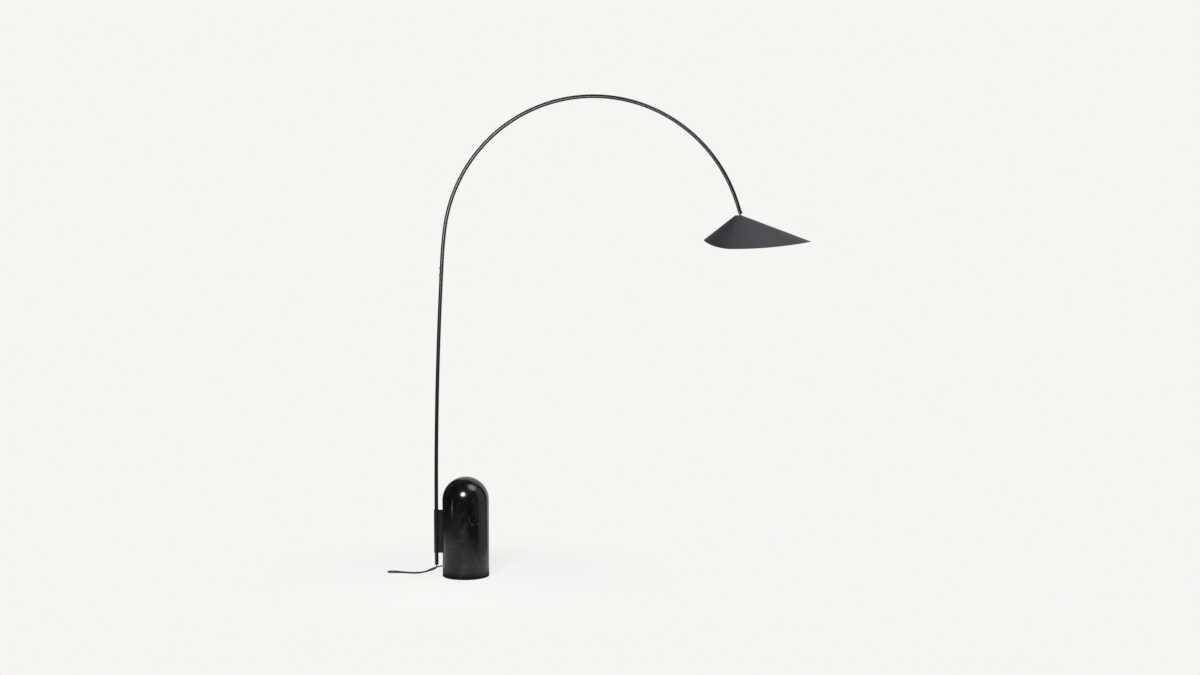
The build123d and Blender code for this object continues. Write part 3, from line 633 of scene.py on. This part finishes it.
def closed_rings(rings, start, end):
    """Points and faces of a skin through rings of equal count, closed by a fan to a point at each end."""
    count = len(rings[0])
    points = [start]
    for ring in rings:
        points.extend(ring)
    points.append(end)
    faces = [(0, 1 + (k + 1) % count, 1 + k) for k in range(count)]
    for k in range(len(rings) - 1):
        faces += ring_faces(1 + k * count, 1 + (k + 1) * count, count)
    top = 1 + (len(rings) - 1) * count
    faces += [(top + k, top + (k + 1) % count, len(points) - 1) for k in range(count)]
    return points, faces


def full_turn(count):
    """Even angles round a full turn."""
    return [2 * math.pi * k / count for k in range(count)]


def level_ring(radius, height, count):
    """A level ring of points about the Z axis."""
    return [
        Vector((radius * math.cos(angle), radius * math.sin(angle), height))
        for angle in full_turn(count)
    ]


def turned(profile, sides):
    """A turned skin about the Z axis, from a profile of (radius, height) that starts and ends on the axis."""
    rings = [level_ring(radius, height, sides) for radius, height in profile[1:-1]]
    return closed_rings(rings, Vector((0, 0, profile[0][1])), Vector((0, 0, profile[-1][1])))


def arc(centre, radius, start, end, steps):
    """Points of (radius, height) along an arc of a profile, from a start angle to an end angle."""
    points = []
    for k in range(steps + 1):
        angle = start + (end - start) * k / steps
        points.append((centre[0] + radius * math.cos(angle), centre[1] + radius * math.sin(angle)))
    return points


def dress(piece, body, slot, *replaced):
    """Say which body a piece rides on and which nodes it stands for; the finish given to it is not used."""
    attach(piece, body)
    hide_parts(*replaced)


def base_profile():
    """The base's half section, from the recess for its pad, round its lower edge and up to its dome."""
    low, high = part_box("marble_base")
    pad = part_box("floor_pad")[1]
    radius = high.x
    dome_centre = high.z - radius
    recess = pad.x + PAD_CLEARANCE
    side = [
        (radius, low.z + BASE_EDGE + (dome_centre - low.z - BASE_EDGE) * k / SIDE_STEPS)
        for k in range(1, SIDE_STEPS)
    ]
    return [
        (0.0, pad.z),
        (recess, pad.z),
        (recess, low.z),
        *arc((radius - BASE_EDGE, low.z + BASE_EDGE), BASE_EDGE, -math.pi / 2, 0, EDGE_STEPS),
        *side,
        *arc((0.0, dome_centre), radius, 0, math.pi / 2, DOME_STEPS),
    ]


marble_dome = make_piece("marble_dome", *turned(base_profile(), BASE_SIDES), [FINISHES["marble"]])
dress(marble_dome, "base", "marble", "marble_base")


# Tubes


def along(heading):
    """The direction of a heading in the arch's plane, from upright at 0 over towards the shade."""
    return Vector((math.sin(heading), 0, math.cos(heading)))


def bend_stations(station, radius, angle):
    """Stations of (place, heading) round a bend towards the shade, after the station that it starts from."""
    place, heading = station
    steps = max(math.ceil(angle / BEND_STEP), BEND_LEAST_STEPS)
    turn = angle / steps
    stations = []
    for _ in range(steps):
        place = place + along(heading + turn / 2) * (2 * radius * math.sin(turn / 2))
        heading += turn
        stations.append((place, heading))
    return stations


def straight_on(station, length):
    """The station at the end of a straight length."""
    place, heading = station
    return place + along(heading) * length, heading


def tube_ring(station, radius):
    """A ring of points square to a tube at a station."""
    place, heading = station
    side = along(heading + math.pi / 2)
    back = Vector((0, 1, 0))
    return [
        place + (side * math.cos(angle) + back * math.sin(angle)) * radius
        for angle in full_turn(TUBE_SIDES)
    ]


def make_tube(name, route, grooves=()):
    """A hollow tube on a route of stations, with fine end edges and (station, radius) rings for grooves."""
    start, end = route[0], route[-1]
    skin = [(start, TUBE_RADIUS - TUBE_EDGE), (straight_on(start, TUBE_EDGE), TUBE_RADIUS)]
    skin += grooves
    skin += [(station, TUBE_RADIUS) for station in route[1:-1]]
    skin += [(straight_on(end, -TUBE_EDGE), TUBE_RADIUS), (end, TUBE_RADIUS - TUBE_EDGE)]
    skin += [(station, TUBE_BORE) for station in reversed(route)]
    rings = [tube_ring(station, radius) for station, radius in skin]
    points = [point for ring in rings for point in ring]
    starts = [k * TUBE_SIDES for k in range(len(rings))]
    faces = []
    for first, second in zip(starts, starts[1:] + starts[:1]):
        faces += ring_faces(first, second, TUBE_SIDES)
    return make_piece(name, points, faces, [FINISHES["black_metal"]])


def groove_rings():
    """The rings of the grooves that the guide screws run in, up the straight foot of the pole."""
    rings = []
    for height in GROOVE_HEIGHTS:
        for reach, sunk in ((-1, 0), (-1, 1), (1, 1), (1, 0)):
            place = Vector((POLE_X, 0, height + reach * GROOVE_HALF))
            rings.append(((place, 0.0), TUBE_RADIUS - sunk * GROOVE_DEPTH))
    return rings


pole_route = [(Vector((POLE_X, 0, POLE_FOOT)), 0.0)]
pole_route.append(straight_on(pole_route[-1], POLE_STRAIGHT))
pole_route += bend_stations(pole_route[-1], *POLE_BEND)
pole_route.append(straight_on(pole_route[-1], JOINT_STRAIGHT))
arch_route = [pole_route[-1]]
arch_route.append(straight_on(arch_route[-1], JOINT_STRAIGHT))
for bend in (EASE_BEND, ARCH_BEND):
    arch_route += bend_stations(arch_route[-1], *bend)

pole_pipe = make_tube("pole_pipe", pole_route, groove_rings())
dress(pole_pipe, "arm", "black_metal", "lower_pole")
arch_pipe = make_tube("arch_pipe", arch_route)
dress(arch_pipe, "arm", "black_metal", "arch_tube")


# Shade


def rim_drop(x):
    """How far the folded rim hangs below the apex at a distance along the shade."""
    if x > FLANK_PLACE:
        reach, slope, span = LONG_REACH, SHALLOW_ANGLE, LONG_REACH - FLANK_PLACE
    else:
        reach, slope, span = SHORT_REACH, STEEP_ANGLE, SHORT_REACH + FLANK_PLACE
    rise = FLANK_DROP - reach * math.tan(slope)
    radius = (span**2 + rise**2) / (2 * rise)
    return FLANK_DROP - radius + math.sqrt(max(radius**2 - (x - FLANK_PLACE) ** 2, 0.0))


def cone_runs(angle):
    """How far the cone reaches along X and Y for each metre of drop, at an angle round it."""
    slope = SHALLOW_ANGLE if math.cos(angle) > 0 else STEEP_ANGLE
    return math.cos(angle) / math.tan(slope), math.sin(angle) / math.tan(SIDE_ANGLE)


def cone_drop(angle, lowered):
    """The drop at which the cone, lowered for its outside or its inside, meets the rim."""
    near, far = CAP_DROP, 2 * FLANK_DROP
    for _ in range(SEARCH_STEPS):
        middle = (near + far) / 2
        if middle + lowered < rim_drop(middle * cone_runs(angle)[0]):
            near = middle
        else:
            far = middle
    return near


def make_shade():
    """The folded cone: its outside, its rim, its inside and the flat cap that the stem passes through."""
    low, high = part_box("shade_shell")
    apex = Vector((low.x + SHORT_REACH, 0.0, high.z + CAP_DROP))
    points = []

    def add_ring(places):
        """Add a ring of points, and give the index where it starts."""
        points.extend(places)
        return len(points) - SHADE_SIDES

    def hole_ring(lowered):
        """A ring round the hole for the stem."""
        middle = apex + Vector((STEM_OFFSET, 0.0, -CAP_DROP - lowered))
        return add_ring([middle + point for point in level_ring(STEM_HOLE, 0.0, SHADE_SIDES)])

    def cone_ring(share, lowered):
        """A ring round the cone, at a share of the way from the cap to the rim."""
        places = []
        for angle in full_turn(SHADE_SIDES):
            lengthwise, sideways = cone_runs(angle)
            drop = CAP_DROP + share * (cone_drop(angle, lowered) - CAP_DROP)
            places.append(apex + Vector((lengthwise * drop, sideways * drop, -drop - lowered)))
        return add_ring(places)

    shares = [k / SHADE_STEPS for k in range(SHADE_STEPS + 1)]
    top, under = SEAT_GAP, SHADE_WALL - SEAT_GAP
    outside = [hole_ring(top)] + [cone_ring(share, top) for share in shares]
    inside = [cone_ring(share, under) for share in reversed(shares)] + [hole_ring(under)]
    rings = outside + inside
    faces = []
    face_materials = []
    for k, (first, second) in enumerate(zip(rings, rings[1:] + rings[:1])):
        faces += ring_faces(second, first, SHADE_SIDES)
        # The rim and the wall of the hole keep the outside's coat
        painted_white = len(outside) <= k < len(rings) - 1
        face_materials += [int(painted_white)] * SHADE_SIDES
    return make_piece("folded_shade", points, faces, [FINISHES["shade_metal"], SHADE_INSIDE], face_materials)


folded_shade = make_shade()
dress(folded_shade, "shade", "shade_metal", "shade_shell")


# Strain reliefs and plug


def ribbed(start, end, wide, narrow, ribs):
    """A profile of (radius, height) that tapers in ribs, with rounded grooves between them."""
    profile = []
    for rib in range(ribs):
        section = [(share, 0.0) for share in RIB_TOP]
        if rib < ribs - 1:
            section += RIB_GROOVE
        for share, sunk in section:
            place = (rib + share) / ribs
            radius = wide + (narrow - wide) * place - sunk * RIB_DEPTH
            profile.append((radius, start + (end - start) * place))
    return profile


def make_boot(name, axis):
    """A ribbed strain relief at the end of the switch that an axis points to."""
    low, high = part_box("switch_boots")
    tray_low, tray_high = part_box("switch_tray")
    half_switch = (tray_high.x - tray_low.x) / 2
    root = (low + high) / 2 + axis * half_switch
    length = (high.x - low.x) / 2 - half_switch
    profile = [
        (0.0, 0.0),
        (BOOT_RADIUS, 0.0),
        (BOOT_RADIUS, BOOT_COLLAR),
        *ribbed(BOOT_COLLAR, length, BOOT_RADIUS - RIB_DEPTH / 2, BOOT_TIP_RADIUS, BOOT_RIBS),
        (BOOT_TIP_RADIUS, length),
        (0.0, length),
    ]
    points, faces = turned(profile, SMALL_SIDES)
    turn = Vector((0, 0, 1)).rotation_difference(axis)
    placed = [root + turn @ point for point in points]
    return make_piece(name, placed, faces, [FINISHES["plug_plastic"]])


def rounded_box_ring(x, centre, half_width, half_height, power):
    """A ring round the X axis whose corners are squarer at a higher power."""
    ring = []
    for angle in full_turn(SMALL_SIDES):
        cosine, sine = math.cos(angle), math.sin(angle)
        y = math.copysign(abs(cosine) ** (2 / power), cosine) * half_width
        z = math.copysign(abs(sine) ** (2 / power), sine) * half_height
        ring.append(Vector((x, centre.y + y, centre.z + z)))
    return ring


def make_plug():
    """The moulded plug: a waisted body with grip ridges, a shoulder and a ribbed neck."""
    low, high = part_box("plug_body")
    centre = (low + high) / 2
    half_width, half_height = (high.y - low.y) / 2, (high.z - low.z) / 2
    root = high.x - PLUG_NECK
    sections = []
    for forward, inset in PLUG_FACE_SECTION:
        width, height = half_width - inset * PLUG_FACE_EDGE, half_height - inset * PLUG_FACE_EDGE
        sections.append((low.x + forward * PLUG_FACE_EDGE, width, height, BOX_POWER))
    first_grip = root - PLUG_SHOULDER - PLUG_GRIPS * GRIP_PITCH
    for grip in range(PLUG_GRIPS):
        start = first_grip + grip * GRIP_PITCH
        waist = half_width - PLUG_WAIST * (grip + 1) / PLUG_GRIPS
        for share, sunk in GRIP_SECTION:
            sections.append((start + share * GRIP_PITCH, waist - sunk * GRIP_DEPTH, half_height, BOX_POWER))
    for boxy, share in arc((0.0, 0.0), 1.0, 0, math.pi / 2, EDGE_STEPS):
        width = PLUG_NECK_RADIUS + (half_width - PLUG_WAIST - PLUG_NECK_RADIUS) * boxy
        height = PLUG_NECK_RADIUS + (half_height - PLUG_NECK_RADIUS) * boxy
        power = ROUND_POWER + (BOX_POWER - ROUND_POWER) * boxy
        sections.append((root - PLUG_SHOULDER * (1 - share), width, height, power))
    for radius, x in ribbed(root, high.x, PLUG_NECK_RADIUS, PLUG_NECK_TIP, PLUG_RIBS):
        sections.append((x, radius, radius, ROUND_POWER))
    sections.append((high.x, PLUG_NECK_TIP, PLUG_NECK_TIP, ROUND_POWER))
    rings = [rounded_box_ring(x, centre, width, height, power) for x, width, height, power in sections]
    start = Vector((low.x, centre.y, centre.z))
    end = Vector((high.x, centre.y, centre.z))
    return make_piece("plug_shell", *closed_rings(rings, start, end), [FINISHES["plug_plastic"]])


entry_boot = make_boot("entry_boot", Vector((-1, 0, 0)))
dress(entry_boot, "base", "plug_plastic", "switch_boots")
outlet_boot = make_boot("outlet_boot", Vector((1, 0, 0)))
dress(outlet_boot, "base", "plug_plastic", "switch_boots")
plug_shell = make_plug()
dress(plug_shell, "base", "plug_plastic", "plug_body")


# Cords

lead_cord = make_cord("lead_cord", RUN_POINTS)
dress(lead_cord, "base", "cord_cover", "cord_run")
spare_cord = make_cord("spare_cord", [*LINK_POINTS, *coil_points(), *TAIL_POINTS])
dress(spare_cord, "base", "cord_cover", "cord_link", "cord_coil", "cord_tail")


# Studio


def towards(azimuth):
    """The level direction of an azimuth, from straight behind the lamp round towards the shade."""
    return (math.sin(azimuth), math.cos(azimuth), 0.0)


def wall_patch(made, direction, azimuth, sides, top, share):
    """How much light comes from an upright wall that faces the lamp, with soft edges at its sides and top."""
    depth = made.along(direction, towards(azimuth))
    nearest = made.math("MAXIMUM", depth, WALL_NEAREST)
    aside = made.math("DIVIDE", made.along(direction, towards(azimuth + math.pi / 2)), nearest)
    height = made.math("DIVIDE", made.along(direction, (0.0, 0.0, 1.0)), nearest)
    outline = made.product(made.between(made.math("ABSOLUTE", aside), *sides), made.between(height, *top))
    ahead = made.product(made.math("GREATER_THAN", depth, WALL_NEAREST), share)
    return made.product(outline, ahead)


def make_world():
    """Even light all round, a pale backdrop for the eye, and for reflections two walls in a dark room."""
    world = bpy.data.worlds.new("studio")
    bpy.context.scene.world = world
    world.use_nodes = True
    made = Nodes(world.node_tree)
    path = made.node("ShaderNodeLightPath").outputs
    direction = made.node("ShaderNodeTexCoord").outputs["Generated"]
    patches = [wall_patch(made, direction, *wall) for wall in (BACK_WALL, SIDE_WALL)]
    walls = made.mixed(made.math("MAXIMUM", *patches), ROOM_DARK, WALL_LEVEL)
    mirrored = made.math("MAXIMUM", path["Is Glossy Ray"], path["Is Transmission Ray"])
    lit = made.mixed(mirrored, AMBIENT, walls)
    made.join(made.mixed(path["Is Camera Ray"], lit, PALE), made.tree.nodes["Background"].inputs["Color"])


def floor_sector(made, outwards, azimuth, edges, share):
    """How much of the floor's light is mirrored in a sector about an azimuth, with soft side edges."""
    return made.product(made.between(made.along(outwards, towards(azimuth)), *edges), share)


def floor_glow(made, path, from_middle):
    """The floor's own light: the backdrop's for the eye, and for reflections a painted pool of light in a
    round patch and two sectors, with a painted contact shadow round the lamp.
    """
    from_patch = made.vector("DISTANCE", "Value", made.coordinates, FLOOR_PATCH_CENTRE)
    outwards = made.vector("NORMALIZE", "Vector", made.coordinates)
    sectors = [floor_sector(made, outwards, *sector) for sector in (FLOOR_BACK, FLOOR_SIDE)]
    shown = made.math("MAXIMUM", made.between(from_patch, *FLOOR_PATCH), made.math("MAXIMUM", *sectors))
    # Painted contact shadow: the mirrored light fades to dark close round the lamp's base
    lit_past_shadow = made.product(shown, made.between(from_middle, *FLOOR_CONTACT_SHADOW))
    mirrored = made.mixed(lit_past_shadow, FLOOR_DARK, FLOOR_BRIGHT)
    light = made.mixed(path["Is Glossy Ray"], PALE, mirrored)
    return made.node("ShaderNodeEmission", Color=light, Strength=1.0).outputs["Emission"]


def floor_finish():
    """Pale paper that keeps the lamp's shadow and melts into the backdrop further out."""
    made = Finish("floor_sheet", Roughness=0.9)
    path = made.node("ShaderNodeLightPath").outputs
    from_middle = made.vector("LENGTH", "Value", made.coordinates)
    made.mottle(made.noise(30.0, 4.0), FLOOR_TINT, PALE)
    fade = made.between(from_middle, *FLOOR_FADE)
    seen = made.product(made.spread(fade, 1.0 - FLOOR_SHADOW, 1.0), path["Is Camera Ray"])
    share = made.math("MAXIMUM", seen, path["Is Glossy Ray"])
    glow = floor_glow(made, path, from_middle)
    blend = made.tree.nodes.new("ShaderNodeMixShader")
    for output, socket in zip((share, made.shader.outputs["BSDF"], glow), blend.inputs):
        made.join(output, socket)
    made.join(blend.outputs["Shader"], made.tree.nodes["Material Output"].inputs["Surface"])
    return made.material


def make_floor():
    """A round sheet just under the lamp."""
    rim = level_ring(FLOOR_RADIUS, 0.0, FLOOR_EDGES)
    floor = make_piece("floor_sheet", rim, [tuple(range(FLOOR_EDGES))], [floor_finish()])
    floor.location = (0.0, 0.0, FLOOR_HEIGHT)


def make_lamp(name, place, aim, size, power, tint):
    """A round soft lamp at a place, turned to the point that it lights."""
    data = bpy.data.lights.new(name, "AREA")
    data.shape = "DISK"
    data.size = size
    data.energy = power
    data.color = tint
    lamp = bpy.data.objects.new(name, data)
    lamp.location = place
    lamp.rotation_euler = (Vector(place) - Vector(aim)).to_track_quat("Z", "Y").to_euler()
    lamp.visible_camera = False
    bpy.context.scene.collection.objects.link(lamp)


make_world()
make_floor()
make_lamp("key", KEY_PLACE, KEY_AIM, KEY_SIZE, KEY_POWER, KEY_TINT)
make_lamp("overhead", OVERHEAD_PLACE, OVERHEAD_AIM, OVERHEAD_SIZE, OVERHEAD_POWER, OVERHEAD_TINT)

bpy.context.scene.view_settings.view_transform = "Standard"

bpy.context.view_layer.update()
